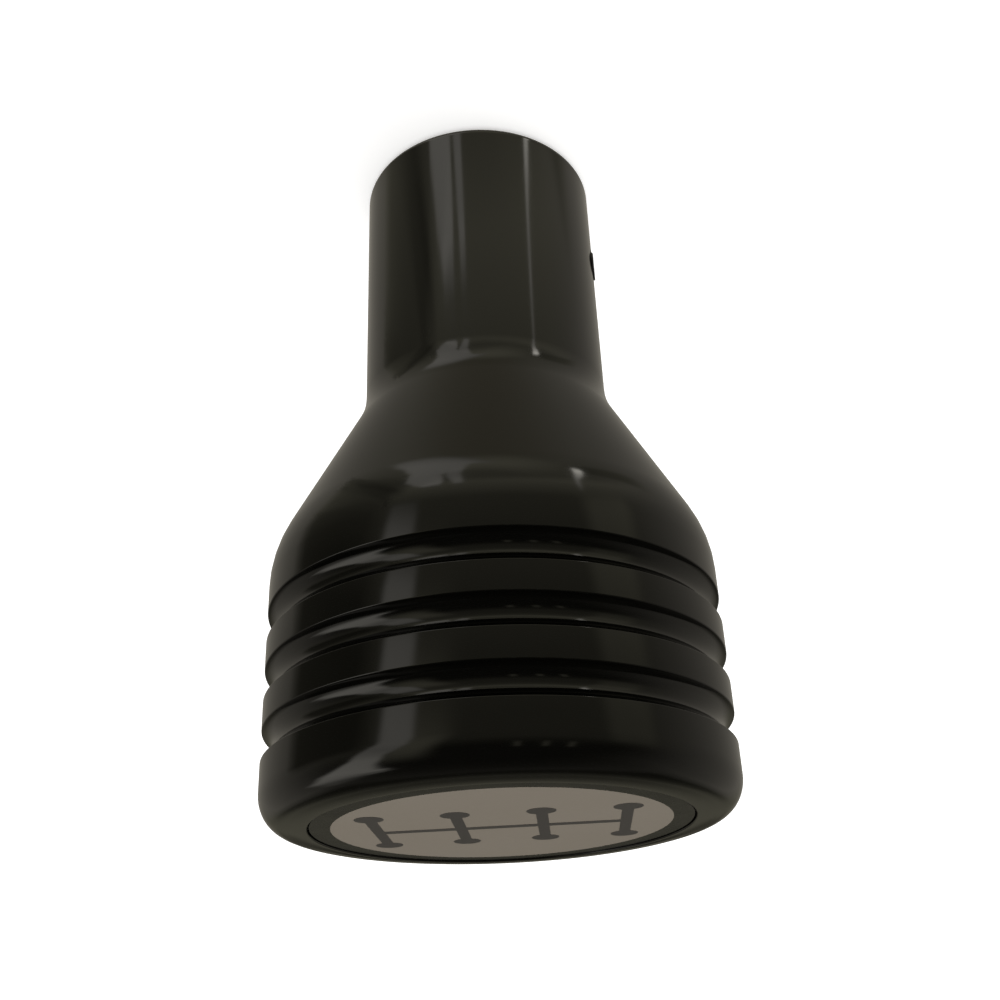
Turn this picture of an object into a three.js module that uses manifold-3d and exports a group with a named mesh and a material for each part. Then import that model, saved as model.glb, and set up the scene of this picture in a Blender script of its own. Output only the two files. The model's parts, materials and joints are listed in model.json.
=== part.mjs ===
// Gear shift knob turned from black-anodised aluminium bar, with a stuck-on badge in its end face and
// two set screws that clamp it on a shift lever. Millimetres, +Z up, standing on the end of its neck:
// the origin is the centre of the neck's end face, and +Z runs up the lever's axis to the badge.
import * as THREE from "three";
import { mergeVertices } from "three/addons/utils/BufferGeometryUtils.js";
import Module from "manifold-3d";

const wasm = await Module();
wasm.setup();

// Driving dimensions: outside of the body, from the neck's end to the badge's end
const NECK_DIAMETER = 29.8;
const NECK_EDGE_RADIUS = 1.2;
const NECK_LENGTH = 34.7; // up to the corner where the neck and the cone would meet
const NECK_FILLET_RADIUS = 11.3;
const CONE_LENGTH = 20.3; // along the axis, corner to corner
const SHOULDER_RADIUS = 12.9;
const BODY_DIAMETER = 50.8; // two-inch bar, skimmed
const SHOULDER_BAND = 6.24; // from the shoulder's corner to the first groove
const GROOVE_COUNT = 3;
const GROOVE_WIDTH = 3.36;
const GROOVE_DEPTH = 1.5;
const GROOVE_BAND = 3.23; // land left between two grooves
const RIM_BAND = 6.6; // from the last groove to the badge's end
const RIM_ROUND_ACROSS = 2.7; // the rim's rounding is a little longer than it is deep
const RIM_ROUND_ALONG = 3.5;
const RIM_LIP = 2.4; // flat ring between the rounding and the badge's recess

// Driving dimensions: lever bore
const BORE_DIAMETER = 16;
const BORE_DEPTH = 40;
const BORE_CHAMFER = 0.8;

// Driving dimensions: badge and its adhesive disc
const BADGE_THICKNESS = 0.8;
const BADGE_EDGE = 0.12;
const BADGE_SETBACK = 0.17; // badge face below the rim
const BADGE_SIDE_GAP = 0.15;
const ADHESIVE_THICKNESS = 0.4;
const ADHESIVE_INSET = 0.6; // adhesive's edge inside the badge's edge
const BOND_GAP = 0.1;

// Driving dimensions: set screws
const SCREW_DIAMETER = 4.17; // No. 8-32
const SCREW_CLEARANCE = 0.15; // stands in for the thread
const SCREW_HEIGHT = 12.7; // axis above the neck's end
const SCREW_PROUD = 0.2; // socket end outside the neck
const SCREW_TIP_SETBACK = 0.75; // cup point short of the bore's wall
const SCREW_CHAMFER = 0.35;
const SOCKET_ACROSS_FLATS = 1.98;
const SOCKET_DEPTH = 2.2;
const CUP_DIAMETER = 2.2;
const CUP_DEPTH = 0.6;
const SCREWS = [
  { name: "side_set_screw", azimuth: Math.PI },
  { name: "rear_set_screw", azimuth: Math.PI / 2 },
];

// Facets
const BODY_SEGMENTS = 64;
const SCREW_SEGMENTS = 24;
const ARC_DIVISIONS = 3;

// Sizes that follow
const neckRadius = NECK_DIAMETER / 2;
const bodyRadius = BODY_DIAMETER / 2;
const boreRadius = BORE_DIAMETER / 2;
const shoulderHeight = NECK_LENGTH + CONE_LENGTH;
const groovePitch = GROOVE_WIDTH + GROOVE_BAND;
const grooveZone = GROOVE_COUNT * groovePitch - GROOVE_BAND;
const overallLength = shoulderHeight + SHOULDER_BAND + grooveZone + RIM_BAND;
const recessRadius = bodyRadius - RIM_ROUND_ACROSS - RIM_LIP;
const recessDepth = BADGE_SETBACK + BADGE_THICKNESS + ADHESIVE_THICKNESS + 2 * BOND_GAP;
const recessFloor = overallLength - recessDepth;
const badgeRadius = recessRadius - BADGE_SIDE_GAP;
const screwLength = neckRadius - boreRadius + SCREW_PROUD - SCREW_TIP_SETBACK;
const screwTip = boreRadius + SCREW_TIP_SETBACK;

// Materials
const anodised = new THREE.MeshStandardMaterial({ color: 0x1c1b18, roughness: 0.22, metalness: 0.9 });
const badgeFinish = new THREE.MeshStandardMaterial({ color: 0x7d7369, roughness: 0.55, metalness: 0.3 });
const foam = new THREE.MeshStandardMaterial({ color: 0x2a2a2a, roughness: 0.95, metalness: 0 });
const blackOxide = new THREE.MeshStandardMaterial({ color: 0x141414, roughness: 0.45, metalness: 0.8 });

// Adds an arc to the path that rounds the corner between two straight lines
function roundCorner(path, before, corner, after, radius) {
  const toBefore = before.clone().sub(corner).normalize();
  const toAfter = after.clone().sub(corner).normalize();
  const halfAngle = Math.acos(toBefore.dot(toAfter)) / 2;
  const toCentre = toBefore.clone().add(toAfter).setLength(radius / Math.sin(halfAngle));
  const centre = corner.clone().add(toCentre);
  const tangent = radius / Math.tan(halfAngle);
  const start = toBefore.clone().multiplyScalar(tangent).sub(toCentre).angle();
  const end = toAfter.clone().multiplyScalar(tangent).sub(toCentre).angle();
  path.absarc(centre.x, centre.y, radius, start, end, toBefore.cross(toAfter) > 0);
}

// Adds one groove: a full-radius floor, with straight walls where it is deeper than that
function groove(path, middle) {
  const halfWidth = GROOVE_WIDTH / 2;
  const shallowRadius = (halfWidth ** 2 + GROOVE_DEPTH ** 2) / (2 * GROOVE_DEPTH);
  const radius = GROOVE_DEPTH < halfWidth ? shallowRadius : halfWidth;
  const sweep = Math.asin(halfWidth / radius);
  path.lineTo(bodyRadius, middle - halfWidth);
  path.absarc(bodyRadius - GROOVE_DEPTH + radius, middle, radius, Math.PI + sweep, Math.PI - sweep, true);
  path.lineTo(bodyRadius, middle + halfWidth);
}

// A solid of revolution about Z from a path of (radius, height) that starts and ends on the axis
function turned(path, segments) {
  const points = path.getPoints(ARC_DIVISIONS);
  const apart = points.filter((point, i) => i === 0 || point.distanceTo(points[i - 1]) > 1e-3);
  return new THREE.LatheGeometry(apart, segments).rotateX(Math.PI / 2);
}

function toManifold(geometry) {
  const bare = geometry.clone();
  bare.deleteAttribute("normal");
  bare.deleteAttribute("uv");
  const merged = mergeVertices(bare);
  const vertProperties = new Float32Array(merged.attributes.position.array);
  const triVerts = new Uint32Array(merged.index.array);
  return new wasm.Manifold(new wasm.Mesh({ numProp: 3, vertProperties, triVerts }));
}

function toGeometry(manifold) {
  const mesh = manifold.getMesh();
  const geometry = new THREE.BufferGeometry();
  geometry.setAttribute("position", new THREE.BufferAttribute(mesh.vertProperties, 3));
  geometry.setIndex(new THREE.BufferAttribute(mesh.triVerts, 1));
  geometry.computeVertexNormals();
  return geometry;
}

// Body: bored from the neck's end, turned outside, and recessed for the badge at the far end
function bodyBlank() {
  const neckEnd = new THREE.Vector2(neckRadius, 0);
  const neckCorner = new THREE.Vector2(neckRadius, NECK_LENGTH);
  const shoulderCorner = new THREE.Vector2(bodyRadius, shoulderHeight);
  const rimCorner = new THREE.Vector2(bodyRadius, overallLength);
  const path = new THREE.Path();
  path.moveTo(0, BORE_DEPTH);
  path.lineTo(boreRadius, BORE_DEPTH);
  path.lineTo(boreRadius, BORE_CHAMFER);
  path.lineTo(boreRadius + BORE_CHAMFER, 0);
  roundCorner(path, new THREE.Vector2(0, 0), neckEnd, neckCorner, NECK_EDGE_RADIUS);
  roundCorner(path, neckEnd, neckCorner, shoulderCorner, NECK_FILLET_RADIUS);
  roundCorner(path, neckCorner, shoulderCorner, rimCorner, SHOULDER_RADIUS);
  const firstMiddle = shoulderHeight + SHOULDER_BAND + GROOVE_WIDTH / 2;
  for (let i = 0; i < GROOVE_COUNT; i++) {
    groove(path, firstMiddle + i * groovePitch);
  }
  const lipRadius = bodyRadius - RIM_ROUND_ACROSS;
  const rimStart = overallLength - RIM_ROUND_ALONG;
  path.absellipse(lipRadius, rimStart, RIM_ROUND_ACROSS, RIM_ROUND_ALONG, 0, Math.PI / 2, false, 0);
  path.lineTo(recessRadius, overallLength);
  path.lineTo(recessRadius, recessFloor);
  path.lineTo(0, recessFloor);
  return toManifold(turned(path, BODY_SEGMENTS));
}

// The hole for one set screw, through the neck's wall into the bore
function screwHole(azimuth) {
  const radius = SCREW_DIAMETER / 2 + SCREW_CLEARANCE;
  const hole = new THREE.CylinderGeometry(radius, radius, neckRadius, SCREW_SEGMENTS);
  hole.rotateX(Math.PI / 2);
  hole.rotateY(Math.PI / 2);
  hole.translate(neckRadius, 0, SCREW_HEIGHT);
  hole.rotateZ(azimuth);
  return toManifold(hole);
}

function makeBody() {
  let body = bodyBlank();
  for (const screw of SCREWS) {
    body = body.subtract(screwHole(screw.azimuth));
  }
  const mesh = new THREE.Mesh(toGeometry(body), anodised);
  mesh.name = "knob_body";
  return mesh;
}

// A disc with a small chamfer round its upper edge
function makeDisc(name, radius, thickness, edge, floor, material) {
  const path = new THREE.Path();
  path.moveTo(0, 0);
  path.lineTo(radius, 0);
  path.lineTo(radius, thickness - edge);
  path.lineTo(radius - edge, thickness);
  path.lineTo(0, thickness);
  const disc = new THREE.Mesh(turned(path, BODY_SEGMENTS), material);
  disc.name = name;
  disc.position.z = floor;
  return disc;
}

// Set screw along +Z: cup point at the bottom, hex socket in the top
function screwGeometry() {
  const radius = SCREW_DIAMETER / 2;
  const path = new THREE.Path();
  path.moveTo(0, CUP_DEPTH);
  path.lineTo(CUP_DIAMETER / 2, 0);
  path.lineTo(radius - SCREW_CHAMFER, 0);
  path.lineTo(radius, SCREW_CHAMFER);
  path.lineTo(radius, screwLength - SCREW_CHAMFER);
  path.lineTo(radius - SCREW_CHAMFER, screwLength);
  path.lineTo(0, screwLength);
  const cornerRadius = SOCKET_ACROSS_FLATS / 2 / Math.cos(Math.PI / 6);
  const socket = new THREE.CylinderGeometry(cornerRadius, cornerRadius, 2 * SOCKET_DEPTH, 6);
  socket.rotateX(Math.PI / 2);
  socket.translate(0, 0, screwLength);
  return toGeometry(toManifold(turned(path, SCREW_SEGMENTS)).subtract(toManifold(socket)));
}

// Each screw lies along a radius of the neck, its socket outwards
function makeScrew({ name, azimuth }) {
  const screw = new THREE.Mesh(screwGeometry(), blackOxide);
  screw.name = name;
  screw.rotation.y = Math.PI / 2;
  screw.position.set(screwTip, 0, SCREW_HEIGHT);
  const turn = new THREE.Group();
  turn.rotation.z = azimuth;
  turn.add(screw);
  return turn;
}

const adhesiveFloor = recessFloor + BOND_GAP;
const badgeFloor = adhesiveFloor + ADHESIVE_THICKNESS + BOND_GAP;
const adhesiveRadius = badgeRadius - ADHESIVE_INSET;

const knob = new THREE.Group();
knob.add(makeBody());
knob.add(makeDisc("badge_adhesive", adhesiveRadius, ADHESIVE_THICKNESS, 0.05, adhesiveFloor, foam));
knob.add(makeDisc("badge_plate", badgeRadius, BADGE_THICKNESS, BADGE_EDGE, badgeFloor, badgeFinish));
for (const screw of SCREWS) {
  knob.add(makeScrew(screw));
}

export default knob;
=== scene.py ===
# A gear shift knob for an off-road vehicle: one piece of aluminium bar, turned, black anodised, clamped on
# its lever by two set screws, with a round badge stuck in its end. It stands on the end of its neck.
import json
import math

import bmesh
import bpy
from mathutils import Matrix, Vector

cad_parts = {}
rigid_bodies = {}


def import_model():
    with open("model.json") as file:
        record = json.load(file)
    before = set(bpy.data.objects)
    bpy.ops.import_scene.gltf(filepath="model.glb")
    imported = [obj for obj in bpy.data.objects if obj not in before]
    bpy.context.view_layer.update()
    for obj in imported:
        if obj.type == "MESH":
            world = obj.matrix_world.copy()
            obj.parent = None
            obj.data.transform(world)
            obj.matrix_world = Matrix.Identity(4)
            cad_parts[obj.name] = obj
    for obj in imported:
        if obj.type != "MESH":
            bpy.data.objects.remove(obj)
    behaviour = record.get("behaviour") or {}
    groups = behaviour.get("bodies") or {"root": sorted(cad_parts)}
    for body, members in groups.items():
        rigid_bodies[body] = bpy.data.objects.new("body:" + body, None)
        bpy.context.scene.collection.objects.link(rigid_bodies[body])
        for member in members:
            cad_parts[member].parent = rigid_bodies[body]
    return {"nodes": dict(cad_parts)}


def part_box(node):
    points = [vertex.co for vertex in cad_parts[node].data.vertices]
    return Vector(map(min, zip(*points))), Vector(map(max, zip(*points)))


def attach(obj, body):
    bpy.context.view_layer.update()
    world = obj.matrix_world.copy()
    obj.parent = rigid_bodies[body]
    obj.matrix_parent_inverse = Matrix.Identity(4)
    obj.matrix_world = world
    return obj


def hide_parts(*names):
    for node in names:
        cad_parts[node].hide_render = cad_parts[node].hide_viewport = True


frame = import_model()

scene = bpy.context.scene
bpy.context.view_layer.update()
knob_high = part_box("knob_body")[1]
MM = 0.001

# ---------------------------------------------------------------------------------------------------------
# Camera: close in front of the knob and a little above its badge, looking down. It is upside down, so the
# neck is at the top of the picture, and it stands slightly round towards the side set screw.
CAMERA_DISTANCE = 123.05 * MM
CAMERA_RISE = 23.64 * MM
CAMERA_TURN = math.radians(-7.0)
CAMERA_YAW = math.radians(0.58)
CAMERA_PITCH = math.radians(26.85)
CAMERA_ROLL = math.radians(177.49)
CAMERA_LENS = 41.27
CAMERA_SENSOR = 36
CAMERA_NEAREST = 0.005
CAMERA_FARTHEST = 50

camera_data = bpy.data.cameras.new("camera")
camera_data.sensor_width = CAMERA_SENSOR
camera_data.lens = CAMERA_LENS
camera_data.clip_start = CAMERA_NEAREST
camera_data.clip_end = CAMERA_FARTHEST
camera = bpy.data.objects.new("camera", camera_data)
scene.collection.objects.link(camera)
camera_place = Vector((0, -CAMERA_DISTANCE, knob_high.z + CAMERA_RISE))
camera_place.rotate(Matrix.Rotation(CAMERA_TURN, 3, "Z"))
camera.matrix_world = (
    Matrix.Translation(camera_place)
    @ Matrix.Rotation(CAMERA_TURN + CAMERA_YAW, 4, "Z")
    @ Matrix.Rotation(math.pi / 2 - CAMERA_PITCH, 4, "X")
    @ Matrix.Rotation(CAMERA_ROLL, 4, "Z")
)
scene.camera = camera
scene.view_settings.view_transform = "Standard"

# ---------------------------------------------------------------------------------------------------------
# Studio: a plain pale floor in even soft light. Gloss on black metal is only what it mirrors, so that is set
# apart: a dim room with a pale back, and a few soft panels that the floor and the camera don't see.
FLOOR_SIDE = 8.0
FLOOR_COLOUR = (0.86, 0.855, 0.845, 1)
FLOOR_ROUGHNESS = 0.9
FLOOR_GLOW = 0.5
DAYLIGHT = (1, 1, 1, 1)
ROOM_TINT = (1.12, 1.065, 0.80, 1)
FOOT_TINT = (1.14, 1.02, 0.68, 1)
BACK_TINT = (1.09, 1.02, 0.87, 1)
WINDOW_TINT = (1.06, 1.02, 0.92, 1)
BACK_BLEND = 0.5
PANEL_REACH = 1.2
PANEL_STEP = 0.03
PANEL_COLUMNS = 12
PANEL_ROWS = 8


def link(source, target):
    target.id_data.links.new(source, target)


def node_adder(tree):
    """A function that adds a node to the tree, with its inputs as values or as sockets to join to."""

    def add(kind, inputs=(), **settings):
        node = tree.nodes.new(kind)
        for key, value in settings.items():
            setattr(node, key, value)
        for key, value in dict(inputs).items():
            if isinstance(value, bpy.types.NodeSocket):
                link(value, node.inputs[key])
            else:
                node.inputs[key].default_value = value
        return node

    return add


def new_material(name):
    """A material, its shader and the function that adds its nodes."""
    material = bpy.data.materials.new(name)
    material.use_nodes = True
    tree = material.node_tree
    return material, tree.nodes["Principled BSDF"], node_adder(tree)


half = FLOOR_SIDE / 2
floor_corners = [(-half, -half, 0), (half, -half, 0), (half, half, 0), (-half, half, 0)]
floor_mesh = bpy.data.meshes.new("floor")
floor_mesh.from_pydata(floor_corners, [], [(0, 1, 2, 3)])
floor = bpy.data.objects.new("floor", floor_mesh)
scene.collection.objects.link(floor)
floor.visible_glossy = False
floor.visible_diffuse = False
floor_finish, floor_shader, _ = new_material("pale_floor")
floor_shader.inputs["Base Color"].default_value = FLOOR_COLOUR
floor_shader.inputs["Roughness"].default_value = FLOOR_ROUGHNESS
floor_shader.inputs["Specular IOR Level"].default_value = 0
floor_shader.inputs["Emission Color"].default_value = FLOOR_COLOUR
floor_shader.inputs["Emission Strength"].default_value = FLOOR_GLOW
floor_mesh.materials.append(floor_finish)


def direction(azimuth, elevation):
    """A direction away from the knob: degrees round from the camera towards the side screw, and upwards."""
    turn = math.radians(azimuth) - CAMERA_TURN
    rise = math.radians(elevation)
    return Vector((-math.sin(turn) * math.cos(rise), -math.cos(turn) * math.cos(rise), math.sin(rise)))


def soft_light(name, azimuth, elevation, distance, side, power):
    """A square soft light that faces the knob."""
    data = bpy.data.lights.new(name, "AREA")
    data.size = side
    data.energy = power
    lamp = bpy.data.objects.new(name, data)
    scene.collection.objects.link(lamp)
    away = direction(azimuth, elevation)
    lamp.location = away * distance
    lamp.rotation_mode = "QUATERNION"
    lamp.rotation_quaternion = away.to_track_quat("Z", "Y")
    lamp.visible_glossy = False
    lamp.visible_camera = False


soft_light("overhead", azimuth=150, elevation=62, distance=1.6, side=1.5, power=8)


def smooth(x):
    """Eases from 0 to 1, level at both ends."""
    x = min(max(x, 0), 1)
    return x * x * (3 - 2 * x)


def reflected_panel(name, path, softness, tint=ROOM_TINT):
    """A curved panel seen only in the gloss. Its path is (azimuth, elevation, width, brightness) in degrees
    and room brightness. The softness is the share of its half width, and of its length, that fades out. Each
    panel stands a little behind the one before."""
    panels_before = [other for other in scene.objects if other.name.startswith("panel_")]
    reach = PANEL_REACH + PANEL_STEP * len(panels_before)
    away = [direction(stop[0], stop[1]) for stop in path]
    centre = Vector((0, 0, knob_high.z / 2))
    length = PANEL_ROWS * (len(path) - 1)
    points, fades, glows, faces = [], [], [], []
    for row in range(length + 1):
        leg = min(row // PANEL_ROWS, len(path) - 2)
        share = row / PANEL_ROWS - leg
        middle = away[leg].slerp(away[leg + 1], share)
        before = away[max(leg - 1, 0) if share < 0.5 else leg]
        after = away[min(leg + 2, len(path) - 1) if share > 0.5 else leg + 1]
        aside = middle.cross(after - before).normalized()
        width = path[leg][2] + (path[leg + 1][2] - path[leg][2]) * share
        glow = path[leg][3] + (path[leg + 1][3] - path[leg][3]) * share
        end = min(row, length - row) / length * 2
        for column in range(PANEL_COLUMNS + 1):
            across = 2 * column / PANEL_COLUMNS - 1
            angle = math.radians(width / 2) * across
            points.append(centre + reach * (middle * math.cos(angle) + aside * math.sin(angle)))
            fades.append(smooth((1 - abs(across)) / softness) * smooth(end / softness))
            glows.append(glow)
    for row in range(length):
        for column in range(PANEL_COLUMNS):
            first = row * (PANEL_COLUMNS + 1) + column
            faces.append((first, first + 1, first + PANEL_COLUMNS + 2, first + PANEL_COLUMNS + 1))
    name = "panel_" + name
    mesh = bpy.data.meshes.new(name)
    mesh.from_pydata(points, [], faces)
    mesh.attributes.new("fade", "FLOAT", "POINT").data.foreach_set("value", fades)
    mesh.attributes.new("glow", "FLOAT", "POINT").data.foreach_set("value", glows)
    panel = bpy.data.objects.new(name, mesh)
    scene.collection.objects.link(panel)
    material, _, add = new_material(name)
    glow = add("ShaderNodeAttribute", attribute_name="glow").outputs["Fac"]
    light = add("ShaderNodeEmission", {"Color": tint, "Strength": glow}).outputs[0]
    fade = add("ShaderNodeAttribute", attribute_name="fade").outputs["Fac"]
    clear = add("ShaderNodeBsdfTransparent").outputs[0]
    both = add("ShaderNodeMixShader", {0: fade, 1: clear, 2: light}).outputs[0]
    link(both, material.node_tree.nodes["Material Output"].inputs["Surface"])
    mesh.materials.append(material)
    for ray in ("camera", "diffuse", "transmission", "volume_scatter", "shadow"):
        setattr(panel, "visible_" + ray, False)


# A bright lamp low on the right, and three faint slats of light in front.
reflected_panel(
    "right_lamp",
    (
        (49, -34, 2.4, 1.3), (50, -40, 2.4, 1.2), (52, -45, 2.6, 1.5),
        (57, -50, 4.5, 3.0), (61, -54, 5, 5), (63, -58, 4, 3),
    ),
    softness=0.5,
    tint=WINDOW_TINT,
)
for azimuth in (8, 21, 33):
    reflected_panel("spot_%d" % azimuth, ((azimuth, 12, 4, 0.25), (azimuth, 30, 4, 0.3)), softness=0.6)

# The window on the left, from over the knob's shoulder down to the camera's side.
reflected_panel(
    "left_window",
    (
        (-100, 56, 30, 0.9), (-95, 43, 42, 1.4), (-80, 35, 29, 1.35), (-72, 28, 23, 1.35),
        (-64, 20, 20, 1.3), (-60, 12, 20, 1.0), (-54, 5, 22, 0.8), (-48, -3, 20, 0.95),
        (-46, -12, 19, 0.95), (-45, -20, 18, 0.85), (-43, -28, 15, 0.6), (-43, -35, 15, 0.35),
    ),
    softness=0.35,
    tint=WINDOW_TINT,
)

# The same window's image in the table top: its broad pane, one slat beside it, and the light round them.
reflected_panel(
    "low_window",
    (
        (-32, -40, 8, 0.2), (-32, -43, 9, 1.5), (-34, -46, 12, 1.15), (-41, -50, 15, 1.05),
        (-41, -57, 17, 1.05), (-44, -65, 27, 0.95), (-45, -74, 50, 0.5),
    ),
    softness=0.2,
    tint=WINDOW_TINT,
)
reflected_panel(
    "low_slat",
    (
        (-17, -40.5, 4, 0.2), (-17, -43, 5, 1.3), (-22, -52, 7, 0.9),
        (-23, -58, 8, 1.1), (-24, -68, 10, 0.8),
    ),
    softness=0.4,
    tint=WINDOW_TINT,
)
reflected_panel("low_spill", ((-3, -52, 50, 0.42), (0, -62, 60, 0.55), (0, -76, 80, 0.5)), softness=0.8)
reflected_panel(
    "window_spill",
    (
        (-62, 46, 36, 0.2), (-50, 30, 36, 0.32), (-39, 10, 30, 0.45),
        (-31, -10, 32, 0.45), (-28, -30, 34, 0.34),
    ),
    softness=0.8,
)

# The dark corners of the room to the left and right, and the paler wall between lamp and camera.
reflected_panel(
    "left_shade",
    (
        (-85, 4, 44, 0.13), (-87, -8, 52, 0.06), (-86, -22, 56, 0.06), (-83, -34, 54, 0.13),
        (-82, -39, 50, 0.2), (-82, -43, 48, 0.22), (-77, -49, 52, 0.12), (-76, -58, 52, 0.2),
    ),
    softness=0.3,
)
reflected_panel("right_shade", ((80, -47, 42, 0.2), (86, -57, 46, 0.2)), softness=0.6)
reflected_panel("right_wall", ((62, 15, 30, 0.17), (62, -15, 30, 0.28), (60, -38, 30, 0.5)), softness=0.5)

# The back of the room, which darkens the badge's border and the rim.
reflected_panel("back_foot", ((180, 4.5, 36, 0.02), (180, 11, 36, 0.02)), softness=0.5)
reflected_panel(
    "back_shade",
    (
        (180, -12, 70, 0.13), (180, 15, 70, 0.13), (180, 25, 66, 0.05),
        (180, 45, 74, 0.02), (180, 75, 90, 0.02),
    ),
    softness=0.35,
)

world = bpy.data.worlds.new("room")
scene.world = world
world.use_nodes = True
add = node_adder(world.node_tree)
facing = add("ShaderNodeSeparateXYZ", {"Vector": add("ShaderNodeTexCoord").outputs["Generated"]})
share = add("ShaderNodeMapRange", {"Value": facing.outputs["Z"], "From Min": -1}).outputs["Result"]


def room_wall(levels, tint, foot_tint):
    """A wall's brightness from straight down to straight up, as (upward part of the direction, level)."""
    ramp = add("ShaderNodeValToRGB", {"Fac": share})
    elements = ramp.color_ramp.elements
    while len(elements) < len(levels):
        elements.new(1)
    for element, (up, brightness) in zip(elements, levels):
        element.position = (up + 1) / 2
        element.color = [part * brightness for part in (tint if up > -1 else foot_tint)[:3]] + [1]
    return ramp.outputs["Color"]


front_levels = (
    (-1, 0.22), (-0.9, 0.34), (-0.75, 0.33), (-0.69, 0.52), (-0.60, 0.35), (-0.53, 0.22),
    (-0.3, 0.15), (0, 0.13), (0.2, 0.06), (0.35, 0.025), (1, 0.015),
)
back_levels = (
    (-1, 0.25), (-0.8, 0.28), (-0.6, 0.30), (-0.3, 0.25), (0.3, 0.25), (0.64, 0.2), (0.82, 0.1), (1, 0.05),
)
front = room_wall(front_levels, ROOM_TINT, FOOT_TINT)
back = room_wall(back_levels, BACK_TINT, BACK_TINT)
turn_back = {"Value": facing.outputs["Y"], "From Min": -BACK_BLEND, "From Max": BACK_BLEND}
behind = add("ShaderNodeMapRange", turn_back, interpolation_type="SMOOTHSTEP")
walls = add("ShaderNodeMix", {"Factor": behind.outputs["Result"]}, data_type="RGBA")
link(front, walls.inputs["A"])
link(back, walls.inputs["B"])
glossy = add("ShaderNodeLightPath").outputs["Is Glossy Ray"]
seen = add("ShaderNodeMix", {"Factor": glossy}, data_type="RGBA")
seen.inputs["A"].default_value = DAYLIGHT
link(walls.outputs["Result"], seen.inputs["B"])
link(seen.outputs["Result"], world.node_tree.nodes["Background"].inputs["Color"])

# ---------------------------------------------------------------------------------------------------------
# Body: two-inch aluminium bar, turned all over, bored from the neck's end for the lever and drilled and
# tapped twice for the set screws, then polished and black anodised. Each sharp corner is broken.
NECK_RADIUS = 14.9 * MM
NECK_EDGE = 1.2 * MM
NECK_LENGTH = 34.7 * MM
NECK_FILLET = 11.3 * MM
CONE_LENGTH = 20.3 * MM
SHOULDER_ROUND = 12.9 * MM
BODY_RADIUS = 25.4 * MM
SHOULDER_BAND = 6.24 * MM
GROOVE_COUNT = 3
GROOVE_WIDTH = 3.36 * MM
GROOVE_DEPTH = 1.5 * MM
GROOVE_BAND = 3.23 * MM
RIM_ACROSS = 2.7 * MM
RIM_ALONG = 3.5 * MM
RIM_STEPS = 12
RIM_LIP = 2.4 * MM
RIM_CROWN = 0.16 * MM
LIP_STEPS = 5
RECESS_DEPTH = 1.57 * MM
BORE_RADIUS = 8.0 * MM
BORE_DEPTH = 40.0 * MM
BORE_CHAMFER = 0.8 * MM
CORNER_BREAK = 0.12 * MM
GROOVE_SHOULDER = 1.2 * CORNER_BREAK
BORE_FLOOR_ROUND = 3 * CORNER_BREAK
BODY_SEGMENTS = 192
ARC_STEP = math.radians(7)
SHARP_EDGE = math.radians(35)
SEAM_DISTANCE = 0.0005 * MM

ANODISED_BLACK = (0.0016, 0.0015, 0.0011, 1)
ANODISED_IOR = 1.5
ANODISED_MOTTLE = 0.3
ANODISED_ROUGHNESS = (0.08, 0.12)
SMEAR_SCALE = 140
GRAIN_SCALE = 9000
GRAIN_HEIGHT = 0.002 * MM
TURNING_FEED = 0.09 * MM
TURNING_HEIGHT = 0.002 * MM
FACING_FEED = -0.6


def rounded_outline(corners):
    """Points of an outline from (radius, height, rounding) corners, each rounded corner as an arc."""
    points = []
    for i, (across, up, rounding) in enumerate(corners):
        corner = Vector((across, up))
        if not rounding:
            points.append(corner)
            continue
        before = (Vector(corners[i - 1][:2]) - corner).normalized()
        after = (Vector(corners[i + 1][:2]) - corner).normalized()
        half_angle = before.angle(after) / 2
        centre = corner + (before + after).normalized() * rounding / math.sin(half_angle)
        start = corner + before * rounding / math.tan(half_angle) - centre
        end = corner + after * rounding / math.tan(half_angle) - centre
        sweep = math.atan2(start.x * end.y - start.y * end.x, start.dot(end))
        steps = max(2, math.ceil(abs(sweep) / ARC_STEP))
        for step in range(steps + 1):
            spoke = Matrix.Rotation(sweep * step / steps, 2) @ start
            points.append(centre + spoke)
    return points


def groove(middle):
    """Corners of one groove: two broken lips and a round floor that stops just short of them."""
    half_width = GROOVE_WIDTH / 2
    radius = (half_width**2 + GROOVE_DEPTH**2) / (2 * GROOVE_DEPTH)
    sweep = math.asin(half_width / radius) - GROOVE_SHOULDER / radius
    steps = math.ceil(2 * sweep / ARC_STEP)
    corners = [(BODY_RADIUS, middle - half_width, CORNER_BREAK)]
    for step in range(steps + 1):
        angle = sweep * (2 * step / steps - 1)
        across = BODY_RADIUS - GROOVE_DEPTH + radius * (1 - math.cos(angle))
        corners.append((across, middle + radius * math.sin(angle), 0))
    corners.append((BODY_RADIUS, middle + half_width, CORNER_BREAK))
    return corners


def node_tree(name, sockets):
    """An empty Geometry Nodes tree with the named inputs, and functions that add and join its nodes."""
    tree = bpy.data.node_groups.new(name, "GeometryNodeTree")
    tree.interface.new_socket("Geometry", in_out="INPUT", socket_type="NodeSocketGeometry")
    for label, kind in sockets.items():
        tree.interface.new_socket(label, in_out="INPUT", socket_type="NodeSocket" + kind)
    tree.interface.new_socket("Geometry", in_out="OUTPUT", socket_type="NodeSocketGeometry")
    given = tree.nodes.new("NodeGroupInput")
    add = node_adder(tree)

    def number(operation, *values):
        return add("ShaderNodeMath", dict(enumerate(values)), operation=operation).outputs[0]

    def finish(geometry):
        real = add("GeometryNodeRealizeInstances", {"Geometry": geometry}).outputs[0]
        coated = add("GeometryNodeSetMaterial", {"Geometry": real, "Material": given.outputs["Material"]})
        add("NodeGroupOutput", {"Geometry": coated.outputs[0]})
        return tree

    return given.outputs, add, number, finish


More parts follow.
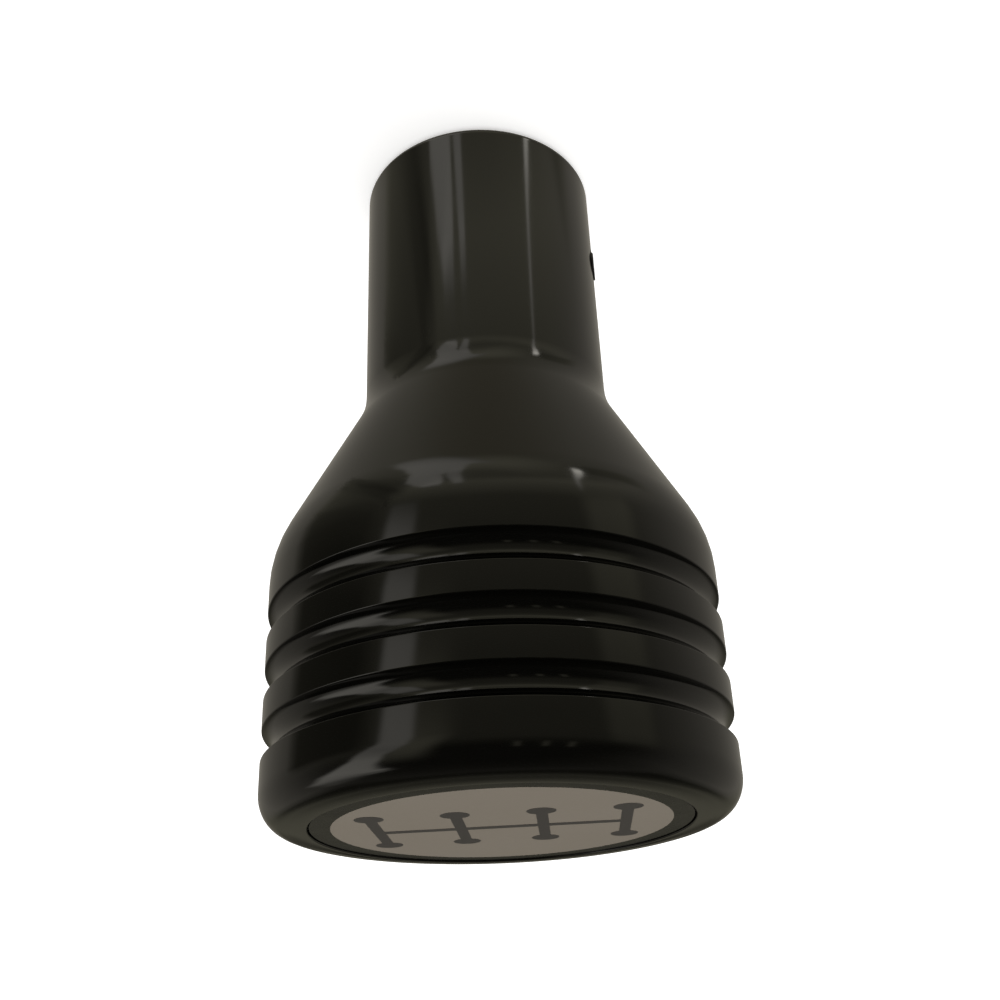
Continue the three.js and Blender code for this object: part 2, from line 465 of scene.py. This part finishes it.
def turning_tree():
    """Turns an outline of vertices, given in order, all the way round Z."""
    given, add, number, finish = node_tree("turning", {"Segments": "Int", "Material": "Material"})
    rows = add("GeometryNodeAttributeDomainSize", {"Geometry": given["Geometry"]}).outputs["Point Count"]
    columns = number("ADD", given["Segments"], 1)
    sheet = add("GeometryNodeMeshGrid", {"Size X": 1, "Size Y": 1, "Vertices X": columns, "Vertices Y": rows})
    place = add("GeometryNodeInputPosition").outputs[0]
    spot = add("ShaderNodeSeparateXYZ", {"Vector": place})
    angle = number("MULTIPLY", number("ADD", spot.outputs["X"], 0.5), 2 * math.pi)
    last_row = number("SUBTRACT", rows, 1)
    row = number("ROUND", number("MULTIPLY", number("ADD", spot.outputs["Y"], 0.5), last_row))
    sample = {"Geometry": given["Geometry"], "Index": row}
    outline = add("GeometryNodeSampleIndex", sample, data_type="FLOAT_VECTOR")
    link(place, outline.inputs["Value"])
    turn = {"Vector": outline.outputs[0], "Angle": angle}
    spun = add("ShaderNodeVectorRotate", turn, rotation_type="Z_AXIS")
    skin = add("GeometryNodeSetPosition", {"Geometry": sheet.outputs["Mesh"], "Position": spun.outputs[0]})
    closed = add("GeometryNodeMergeByDistance", {"Geometry": skin.outputs[0], "Distance": SEAM_DISTANCE})
    return finish(closed.outputs[0])


def made_by_nodes(name, mesh, tree, values):
    """Runs a node tree on a mesh with its named inputs set, and keeps the plain mesh that comes out."""
    blank = bpy.data.objects.new(name, mesh)
    scene.collection.objects.link(blank)
    modifier = blank.modifiers.new("nodes", "NODES")
    modifier.node_group = tree
    for socket in tree.interface.items_tree:
        if socket.item_type == "SOCKET" and socket.name in values:
            modifier[socket.identifier] = values[socket.name]
    shaped = blank.evaluated_get(bpy.context.evaluated_depsgraph_get())
    result = bpy.data.meshes.new_from_object(shaped)
    blank.modifiers.remove(modifier)
    blank.data = result
    result.name = name
    result.polygons.foreach_set("use_smooth", [True] * len(result.polygons))
    result.polygons.foreach_set("material_index", [0] * len(result.polygons))
    result.materials.clear()
    result.materials.append(values["Material"])
    return blank


turning = turning_tree()


def turned(name, corners, segments, material):
    """A piece turned round Z from an outline of (radius, height, rounding) corners."""
    points = rounded_outline(corners)
    outline = bpy.data.meshes.new(name + "_outline")
    chain = [(i, i + 1) for i in range(len(points) - 1)]
    outline.from_pydata([(point.x, 0, point.y) for point in points], chain, [])
    return made_by_nodes(name, outline, turning, {"Segments": segments, "Material": material})


def cut(piece, tools):
    """Cuts the tools out of the piece and marks the cut's edges sharp."""
    for tool in tools:
        modifier = piece.modifiers.new("cut", "BOOLEAN")
        modifier.object = tool
        modifier.operation = "DIFFERENCE"
        modifier.solver = "EXACT"
    shaped = piece.evaluated_get(bpy.context.evaluated_depsgraph_get())
    result = bpy.data.meshes.new_from_object(shaped)
    piece.modifiers.clear()
    piece.data = result
    for tool in tools:
        bpy.data.objects.remove(tool)
    work = bmesh.new()
    work.from_mesh(result)
    for edge in work.edges:
        edge.smooth = edge.calc_face_angle(0) < SHARP_EDGE
    work.to_mesh(result)
    work.free()


def mottled(add, share, colour, spread):
    """A colour that strays both ways by the spread, which is a share of the colour."""
    tone = add("ShaderNodeMix", {"Factor": share}, data_type="RGBA")
    tone.inputs["A"].default_value = [(1 - spread) * part for part in colour[:3]] + [1]
    tone.inputs["B"].default_value = [(1 + spread) * part for part in colour[:3]] + [1]
    return tone.outputs["Result"]


def uneven(add, share, limits):
    """A value that runs between its limits as the share strays about its middle."""
    spread = {"Value": share, "From Min": 0.3, "From Max": 0.7, "To Min": limits[0], "To Max": limits[1]}
    return add("ShaderNodeMapRange", spread).outputs["Result"]


anodised, shader, add = new_material("black_anodised")
shader.inputs["IOR"].default_value = ANODISED_IOR
place = add("ShaderNodeTexCoord").outputs["Object"]
spot = add("ShaderNodeSeparateXYZ", {"Vector": place})
flat = add("ShaderNodeCombineXYZ", {"X": spot.outputs["X"], "Y": spot.outputs["Y"]}).outputs[0]
radius = add("ShaderNodeVectorMath", {0: flat}, operation="LENGTH").outputs["Value"]
inward = add("ShaderNodeMath", {0: radius, 1: FACING_FEED}, operation="MULTIPLY").outputs[0]
feed = add("ShaderNodeMath", {0: spot.outputs["Z"], 1: inward}, operation="ADD").outputs[0]
tool_marks = {"W": feed, "Scale": 1 / TURNING_FEED, "Detail": 1}
marks = add("ShaderNodeTexNoise", tool_marks, noise_dimensions="1D").outputs[0]
smear_noise = {"Vector": place, "Scale": SMEAR_SCALE, "Detail": 4, "Roughness": 0.6}
smears = add("ShaderNodeTexNoise", smear_noise).outputs[0]
grain = add("ShaderNodeTexNoise", {"Vector": place, "Scale": GRAIN_SCALE, "Detail": 2}).outputs[0]
link(mottled(add, smears, ANODISED_BLACK, ANODISED_MOTTLE), shader.inputs["Base Color"])
link(uneven(add, smears, ANODISED_ROUGHNESS), shader.inputs["Roughness"])
grained = add("ShaderNodeBump", {"Height": grain, "Strength": 0.05, "Distance": GRAIN_HEIGHT}).outputs[0]
ridges = {"Height": marks, "Strength": 0.12, "Distance": TURNING_HEIGHT, "Normal": grained}
link(add("ShaderNodeBump", ridges).outputs[0], shader.inputs["Normal"])

shoulder_height = NECK_LENGTH + CONE_LENGTH
groove_pitch = GROOVE_WIDTH + GROOVE_BAND
first_groove = shoulder_height + SHOULDER_BAND + GROOVE_WIDTH / 2
recess_radius = BODY_RADIUS - RIM_ACROSS - RIM_LIP
recess_floor = knob_high.z - RECESS_DEPTH
corners = [
    (0, BORE_DEPTH, 0),
    (BORE_RADIUS, BORE_DEPTH, BORE_FLOOR_ROUND),
    (BORE_RADIUS, BORE_CHAMFER, CORNER_BREAK),
    (BORE_RADIUS + BORE_CHAMFER, 0, CORNER_BREAK),
    (NECK_RADIUS, 0, NECK_EDGE),
    (NECK_RADIUS, NECK_LENGTH, NECK_FILLET),
    (BODY_RADIUS, shoulder_height, SHOULDER_ROUND),
]
for i in range(GROOVE_COUNT):
    corners += groove(first_groove + i * groove_pitch)
for step in range(RIM_STEPS + 1):
    angle = step / RIM_STEPS * math.pi / 2
    across = BODY_RADIUS - RIM_ACROSS * (1 - math.cos(angle))
    up = knob_high.z - RIM_CROWN - (RIM_ALONG - RIM_CROWN) * (1 - math.sin(angle))
    corners.append((across, up, 0))
for step in range(1, LIP_STEPS):
    inward = step / LIP_STEPS
    across = BODY_RADIUS - RIM_ACROSS - RIM_LIP * inward
    up = knob_high.z - RIM_CROWN * (1 - inward) ** 2
    corners.append((across, up, 0))
corners += [
    (recess_radius, knob_high.z, CORNER_BREAK),
    (recess_radius, recess_floor, CORNER_BREAK),
    (0, recess_floor, 0),
]
body = turned("knob", corners, BODY_SEGMENTS, anodised)

# ---------------------------------------------------------------------------------------------------------
# Set screws: two No. 8-32 hex socket screws with cup points, alloy steel with a black oxide finish. Each is
# screwed in along a radius of the neck until its cup bites the lever.
SCREWS = (
    ("side_set_screw", "side_screw", math.pi),
    ("rear_set_screw", "rear_screw", math.pi / 2),
)
SCREW_RADIUS = 2.085 * MM
SCREW_HEIGHT = 12.7 * MM
SCREW_PROUD = 0.2 * MM
SCREW_LENGTH = 6.35 * MM
THREAD_PITCH = 25.4 / 32 * MM
THREAD_DEPTH = 0.44 * MM
THREAD_CLEARANCE = 0.05 * MM
FLANK_SLOPE = 1.35
FLANK_START = -0.15
STOP_MARGIN = 0.001 * MM
ON_AXIS = 1e-9
TAP_LEAD = 3
TAP_RUNOUT = 2 * MM
TAP_MOUTH = 0.2 * MM
COUNTERSINK = 0.5 * MM
SCREW_CHAMFER = 0.35 * MM
CUP_RADIUS = 1.1 * MM
CUP_DEPTH = 0.6 * MM
CUP_CORNER = 0.04 * MM
SOCKET_ACROSS_FLATS = 1.98 * MM
SOCKET_DEPTH = 2.2 * MM
SCREW_SEGMENTS = 48
ROWS_PER_TURN = 10
OXIDE_BLACK = (0.018, 0.017, 0.016, 1)
OXIDE_METALLIC = 0.6
OXIDE_MOTTLE = 0.35
OXIDE_ROUGHNESS = (0.3, 0.5)
OIL_SCALE = 900
OXIDE_HEIGHT = 0.01 * MM


def threading_tree():
    """Cuts a right-hand thread into whatever stands outside its root, round Z, up to its stop. The flanks are
    straight, between a flat crest and a flat root."""
    sizes = {"Radius": "Float", "Pitch": "Float", "Depth": "Float", "Stop": "Float", "Material": "Material"}
    given, add, number, finish = node_tree("threading", sizes)
    spot = add("ShaderNodeSeparateXYZ", {"Vector": add("GeometryNodeInputPosition").outputs[0]}).outputs
    angle = number("DIVIDE", number("ARCTAN2", spot["Y"], spot["X"]), 2 * math.pi)
    turns = number("SUBTRACT", number("DIVIDE", spot["Z"], given["Pitch"]), angle)
    ridge = number("ABSOLUTE", number("SUBTRACT", number("MULTIPLY", number("FRACT", turns), 2), 1))
    flank = number("MULTIPLY_ADD", ridge, FLANK_SLOPE, FLANK_START)
    valley = add("ShaderNodeClamp", {"Value": flank}).outputs[0]
    cut_away = number("SUBTRACT", given["Radius"], number("MULTIPLY", valley, given["Depth"]))
    past_stop = number("GREATER_THAN", spot["Z"], given["Stop"])
    thread = number("ADD", cut_away, number("MULTIPLY", past_stop, given["Radius"]))
    square = number("ADD", number("POWER", spot["X"], 2), number("POWER", spot["Y"], 2))
    radius = number("MAXIMUM", number("SQRT", square), ON_AXIS)
    scale = number("DIVIDE", number("MINIMUM", radius, thread), radius)
    across = number("MULTIPLY", spot["X"], scale)
    along = number("MULTIPLY", spot["Y"], scale)
    place = add("ShaderNodeCombineXYZ", {"X": across, "Y": along, "Z": spot["Z"]})
    threaded = add("GeometryNodeSetPosition", {"Geometry": given["Geometry"], "Position": place.outputs[0]})
    return finish(threaded.outputs[0])


threading = threading_tree()


def threaded_rod(name, foot, head, length, radius, chamfer, material):
    """A rod threaded and chamfered over its length. Foot and head are the outline's corners at its ends."""
    rows = math.ceil(length / THREAD_PITCH * ROWS_PER_TURN)
    side = []
    for row in range(rows + 1):
        up = length * row / rows
        side.append((min(radius, radius - chamfer + min(up, length - up)), up, 0))
    blank = turned(name, foot + side + head, SCREW_SEGMENTS, material)
    values = {
        "Radius": radius,
        "Pitch": THREAD_PITCH,
        "Depth": THREAD_DEPTH,
        "Stop": length + STOP_MARGIN,
        "Material": material,
    }
    mesh = blank.data
    bpy.data.objects.remove(blank)
    return made_by_nodes(name, mesh, threading, values)


def along_radius(piece, azimuth, inner_end):
    """Lays a piece made up Z along a radius of the neck, its foot at inner_end from the axis."""
    turn = Matrix.Rotation(azimuth, 4, "Z") @ Matrix.Translation((inner_end, 0, SCREW_HEIGHT))
    piece.data.transform(turn @ Matrix.Rotation(math.pi / 2, 4, "Y"))


oxide, shader, add = new_material("black_oxide")
shader.inputs["Metallic"].default_value = OXIDE_METALLIC
place = add("ShaderNodeTexCoord").outputs["Object"]
oil = add("ShaderNodeTexNoise", {"Vector": place, "Scale": OIL_SCALE, "Detail": 3}).outputs[0]
link(mottled(add, oil, OXIDE_BLACK, OXIDE_MOTTLE), shader.inputs["Base Color"])
link(uneven(add, oil, OXIDE_ROUGHNESS), shader.inputs["Roughness"])
pitted = add("ShaderNodeBump", {"Height": oil, "Strength": 0.2, "Distance": OXIDE_HEIGHT})
link(pitted.outputs[0], shader.inputs["Normal"])

cup = [(0, CUP_DEPTH, 0), (CUP_RADIUS, 0, CUP_CORNER)]
socket_end = [(0, SCREW_LENGTH, 0)]
screw_tip = NECK_RADIUS + SCREW_PROUD - SCREW_LENGTH
tap_radius = SCREW_RADIUS + THREAD_CLEARANCE
tap_foot = screw_tip - TAP_LEAD * THREAD_PITCH
tap_length = NECK_RADIUS + TAP_RUNOUT - tap_foot
mouth = NECK_RADIUS - TAP_MOUTH - tap_foot
taps = []
key_radius = SOCKET_ACROSS_FLATS / 2 / math.cos(math.pi / 6)
for screw_name, screw_body, azimuth in SCREWS:
    screw = threaded_rod(
        screw_name + "_threaded", cup, socket_end, SCREW_LENGTH, SCREW_RADIUS, SCREW_CHAMFER, oxide
    )
    key_mesh = bpy.data.meshes.new("hex_key")
    work = bmesh.new()
    bmesh.ops.create_cone(
        work, cap_ends=True, segments=6, radius1=key_radius, radius2=key_radius, depth=2 * SOCKET_DEPTH
    )
    work.to_mesh(key_mesh)
    work.free()
    key_mesh.transform(Matrix.Translation((0, 0, SCREW_LENGTH)))
    key_mesh.materials.append(oxide)
    key = bpy.data.objects.new("hex_key", key_mesh)
    scene.collection.objects.link(key)
    cut(screw, [key])
    along_radius(screw, azimuth, screw_tip)
    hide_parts(screw_name)
    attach(screw, screw_body)
    # The tapped hole that it runs in starts whole turns below its tip, so that the threads mesh. It has a
    # small countersink at its mouth.
    sink = tap_radius + COUNTERSINK
    head = [(sink, mouth + COUNTERSINK, 0), (sink, tap_length, 0), (0, tap_length, 0)]
    tap = threaded_rod("tap", [(0, 0, 0)], head, mouth, tap_radius, 0, anodised)
    along_radius(tap, azimuth, tap_foot)
    taps.append(tap)
cut(body, taps)
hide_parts("knob_body")
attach(body, "knob")

# ---------------------------------------------------------------------------------------------------------
# Adhesive: a disc of black foam tape that holds the badge on the recess's floor.
FOAM_BLACK = (0.02, 0.02, 0.02, 1)
FOAM_MOTTLE = 0.3
FOAM_ROUGHNESS = 0.95
FOAM_SCALE = 9000
FOAM_HEIGHT = 0.03 * MM

foam, shader, add = new_material("foam_tape")
shader.inputs["Roughness"].default_value = FOAM_ROUGHNESS
place = add("ShaderNodeTexCoord").outputs["Object"]
cells = add("ShaderNodeTexVoronoi", {"Vector": place, "Scale": FOAM_SCALE}).outputs["Distance"]
link(mottled(add, cells, FOAM_BLACK, FOAM_MOTTLE), shader.inputs["Base Color"])
porous = add("ShaderNodeBump", {"Height": cells, "Strength": 0.6, "Distance": FOAM_HEIGHT})
link(porous.outputs[0], shader.inputs["Normal"])
adhesive = frame["nodes"]["badge_adhesive"]
adhesive.data.materials.clear()
adhesive.data.materials.append(foam)

# ---------------------------------------------------------------------------------------------------------
# Badge: a thin aluminium disc, a satin field inside a gloss black border, with a shift-gate pattern in
# dark grey ink. The field's warm grey is painted shade: it is darker than the badge's own light silver. It is
# stuck in by hand, so the pattern sits a little off the set screw's line.
BADGE_THICKNESS = 0.8 * MM
BADGE_GAP = 0.15 * MM
BADGE_SETBACK = 0.17 * MM
BADGE_EDGE = 0.12 * MM
FIELD_RADIUS = 17.94 * MM
FACE_TOLERANCE = 0.01 * MM
BADGE_TURN = math.radians(-3.8)
# Painted shade: the field's warm grey is darker than the badge's own light silver, for the shade it sits in.
SHADED_FIELD_GREY = (0.178, 0.151, 0.117, 1)
FIELD_MOTTLE = 0.07
FIELD_ROUGHNESS = (0.45, 0.6)
FIELD_SPECKLE_SCALE = 5000
FIELD_CLOUD_SCALE = 90
FIELD_HEIGHT = 0.004 * MM
BORDER_BLACK = (0.004, 0.0038, 0.003, 1)
BORDER_MOTTLE = 0.2
BORDER_ROUGHNESS = (0.2, 0.32)
BORDER_CLOUD_SCALE = 400
INK_GREY = (0.045, 0.04, 0.034, 1)
INK_MOTTLE = 0.15
INK_ROUGHNESS = 0.5
INK_SPECKLE_SCALE = 4000

field, shader, add = new_material("badge_field")
place = add("ShaderNodeTexCoord").outputs["Object"]
speckle = add("ShaderNodeTexNoise", {"Vector": place, "Scale": FIELD_SPECKLE_SCALE, "Detail": 3}).outputs[0]
cloud = add("ShaderNodeTexNoise", {"Vector": place, "Scale": FIELD_CLOUD_SCALE, "Detail": 3}).outputs[0]
# The field's colour, painted shade included, mottled by its speckle.
link(mottled(add, speckle, SHADED_FIELD_GREY, FIELD_MOTTLE), shader.inputs["Base Color"])
least, most = FIELD_ROUGHNESS
rough = add("ShaderNodeMapRange", {"Value": cloud, "To Min": least, "To Max": most})
link(rough.outputs["Result"], shader.inputs["Roughness"])
satin = add("ShaderNodeBump", {"Height": speckle, "Strength": 0.1, "Distance": FIELD_HEIGHT})
link(satin.outputs[0], shader.inputs["Normal"])

border, shader, add = new_material("badge_border")
place = add("ShaderNodeTexCoord").outputs["Object"]
cloud = add("ShaderNodeTexNoise", {"Vector": place, "Scale": BORDER_CLOUD_SCALE, "Detail": 3}).outputs[0]
link(mottled(add, cloud, BORDER_BLACK, BORDER_MOTTLE), shader.inputs["Base Color"])
least, most = BORDER_ROUGHNESS
rough = add("ShaderNodeMapRange", {"Value": cloud, "To Min": least, "To Max": most})
link(rough.outputs["Result"], shader.inputs["Roughness"])

ink, shader, add = new_material("badge_ink")
place = add("ShaderNodeTexCoord").outputs["Object"]
speckle = add("ShaderNodeTexNoise", {"Vector": place, "Scale": INK_SPECKLE_SCALE, "Detail": 2}).outputs[0]
link(mottled(add, speckle, INK_GREY, INK_MOTTLE), shader.inputs["Base Color"])
shader.inputs["Roughness"].default_value = INK_ROUGHNESS

badge_radius = recess_radius - BADGE_GAP
badge_face = knob_high.z - BADGE_SETBACK
badge_back = badge_face - BADGE_THICKNESS
corners = [
    (0, badge_back, 0),
    (badge_radius, badge_back, BADGE_EDGE / 2),
    (badge_radius, badge_face, BADGE_EDGE),
    (FIELD_RADIUS, badge_face, 0),
    (0, badge_face, 0),
]
badge = turned("badge", corners, BODY_SEGMENTS, border)
badge.data.materials.append(field)
for face in badge.data.polygons:
    centre = face.center
    on_face = centre.z > badge_face - FACE_TOLERANCE
    if on_face and math.hypot(centre.x, centre.y) < FIELD_RADIUS:
        face.material_index = 1
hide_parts("badge_plate")
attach(badge, "knob")

# ---------------------------------------------------------------------------------------------------------
# Badge's pattern: an unlettered shift gate in raised screen-printed ink: cross slot, four gates, end dots.
PRINT_WIDTH = 26.0 * MM
PRINT_HEIGHT = 14.0 * MM
PRINT_LINE = 1.2 * MM
PRINT_DOT = 1.5 * MM
PRINT_DOT_SIDES = 40
PRINT_SLOTS = 4
INK_THICKNESS = 0.03 * MM


def gate_tree():
    """A cross slot with gates at even spacing and a dot at each gate's ends, joined into one sheet of ink."""
    lengths = {"Width": "Float", "Height": "Float", "Line": "Float", "Dot": "Float", "Ink": "Float"}
    sizes = {"Slots": "Int", **lengths, "Material": "Material"}
    given, add, number, finish = node_tree("shift_gate", sizes)

    def size(x, y, z):
        return add("ShaderNodeCombineXYZ", {"X": x, "Y": y, "Z": z}).outputs[0]

    step = number("DIVIDE", given["Width"], number("SUBTRACT", given["Slots"], 1))
    left = number("MULTIPLY", given["Width"], -0.5)
    top = number("MULTIPLY", given["Height"], 0.5)
    crosswise = size(given["Width"], given["Line"], given["Ink"])
    bar = add("GeometryNodeMeshCube", {"Size": crosswise}).outputs[0]
    upright = size(given["Line"], given["Height"], given["Ink"])
    gate = add("GeometryNodeMeshCube", {"Size": upright}).outputs[0]
    disc = {"Vertices": PRINT_DOT_SIDES, "Radius": given["Dot"], "Depth": given["Ink"]}
    dot = add("GeometryNodeMeshCylinder", disc).outputs[0]
    sheets = [bar]
    rows = ((gate, 0), (dot, top), (dot, number("MULTIPLY", top, -1)))
    for shape, height in rows:
        start = size(left, height, 0)
        spacing = {"Count": given["Slots"], "Start Location": start, "Offset": size(step, 0, 0)}
        line = add("GeometryNodeMeshLine", spacing)
        copies = add("GeometryNodeInstanceOnPoints", {"Points": line.outputs[0], "Instance": shape})
        sheets.append(add("GeometryNodeRealizeInstances", {"Geometry": copies.outputs[0]}).outputs[0])
    union = add("GeometryNodeMeshBoolean", operation="UNION", solver="EXACT")
    union.inputs["Self Intersection"].default_value = True
    for part in sheets:
        link(part, union.inputs[1])
    return finish(union.outputs["Mesh"])


values = {
    "Slots": PRINT_SLOTS,
    "Width": PRINT_WIDTH,
    "Height": PRINT_HEIGHT,
    "Line": PRINT_LINE,
    "Dot": PRINT_DOT,
    "Ink": INK_THICKNESS,
    "Material": ink,
}
gate_print = made_by_nodes("badge_print", bpy.data.meshes.new("badge_print"), gate_tree(), values)
print_place = Matrix.Translation((0, 0, badge_face + INK_THICKNESS / 2))
gate_print.data.transform(print_place @ Matrix.Rotation(BADGE_TURN, 4, "Z"))
gate_print.data.polygons.foreach_set("use_smooth", [False] * len(gate_print.data.polygons))
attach(gate_print, "knob")
